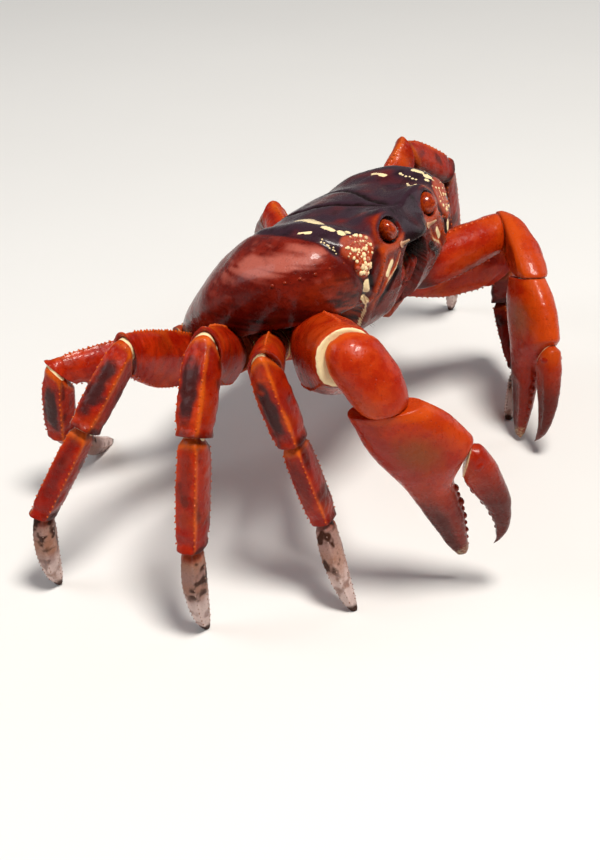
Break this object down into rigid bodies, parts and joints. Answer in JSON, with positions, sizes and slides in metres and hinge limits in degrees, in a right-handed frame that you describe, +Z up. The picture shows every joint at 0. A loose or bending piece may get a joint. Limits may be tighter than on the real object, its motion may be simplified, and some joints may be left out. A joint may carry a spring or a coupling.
{
  "type": "land crab model",
  "caption": "Red land crab standing tall on eight legs with its front raised and both claws hung in front, a still life-size model.",
  "frame": {"origin": "on the floor, under the middle of the model's bounding box", "axes": "+X to the crab's left, -Y the way its head faces, +Z up from the floor"},
  "size_m": [0.2352, 0.1668, 0.1026],
  "materials": {
    "carapace": "glossy dark maroon and purple shell",
    "thorax": "satin dark red underside",
    "limb": "glossy orange-red shell",
    "claw": "glossy orange-red shell",
    "foot": "worn grey-brown horny shell",
    "joint": "pale yellow and cream joint shell",
    "eye": "glossy amber",
    "mouth": "dark red, bristly"
  },
  "bodies": {
    "root": {"abdomen": "thorax", "antenna_left": "mouth", "antenna_right": "mouth", "carapace": "carapace", "claw_left_base": "joint", "claw_left_carpus": "claw", "claw_left_finger": "claw", "claw_left_merus": "claw", "claw_left_palm": "claw", "claw_right_base": "joint", "claw_right_carpus": "claw", "claw_right_finger": "claw", "claw_right_merus": "claw", "claw_right_palm": "claw", "eye_left": "eye", "eye_right": "eye", "leg_1_left_base": "joint", "leg_1_left_carpus": "limb", "leg_1_left_dactyl": "foot", "leg_1_left_merus": "limb", "leg_1_left_propodus": "limb", "leg_1_right_base": "joint", "leg_1_right_carpus": "limb", "leg_1_right_dactyl": "foot", "leg_1_right_merus": "limb", "leg_1_right_propodus": "limb", "leg_2_left_base": "joint", "leg_2_left_carpus": "limb", "leg_2_left_dactyl": "foot", "leg_2_left_merus": "limb", "leg_2_left_propodus": "limb", "leg_2_right_base": "joint", "leg_2_right_carpus": "limb", "leg_2_right_dactyl": "foot", "leg_2_right_merus": "limb", "leg_2_right_propodus": "limb", "leg_3_left_base": "joint", "leg_3_left_carpus": "limb", "leg_3_left_dactyl": "foot", "leg_3_left_merus": "limb", "leg_3_left_propodus": "limb", "leg_3_right_base": "joint", "leg_3_right_carpus": "limb", "leg_3_right_dactyl": "foot", "leg_3_right_merus": "limb", "leg_3_right_propodus": "limb", "leg_4_left_base": "joint", "leg_4_left_carpus": "limb", "leg_4_left_dactyl": "foot", "leg_4_left_merus": "limb", "leg_4_left_propodus": "limb", "leg_4_right_base": "joint", "leg_4_right_carpus": "limb", "leg_4_right_dactyl": "foot", "leg_4_right_merus": "limb", "leg_4_right_propodus": "limb", "maxilliped_left": "mouth", "maxilliped_right": "mouth", "thorax": "thorax"}
  },
  "joints": []
}
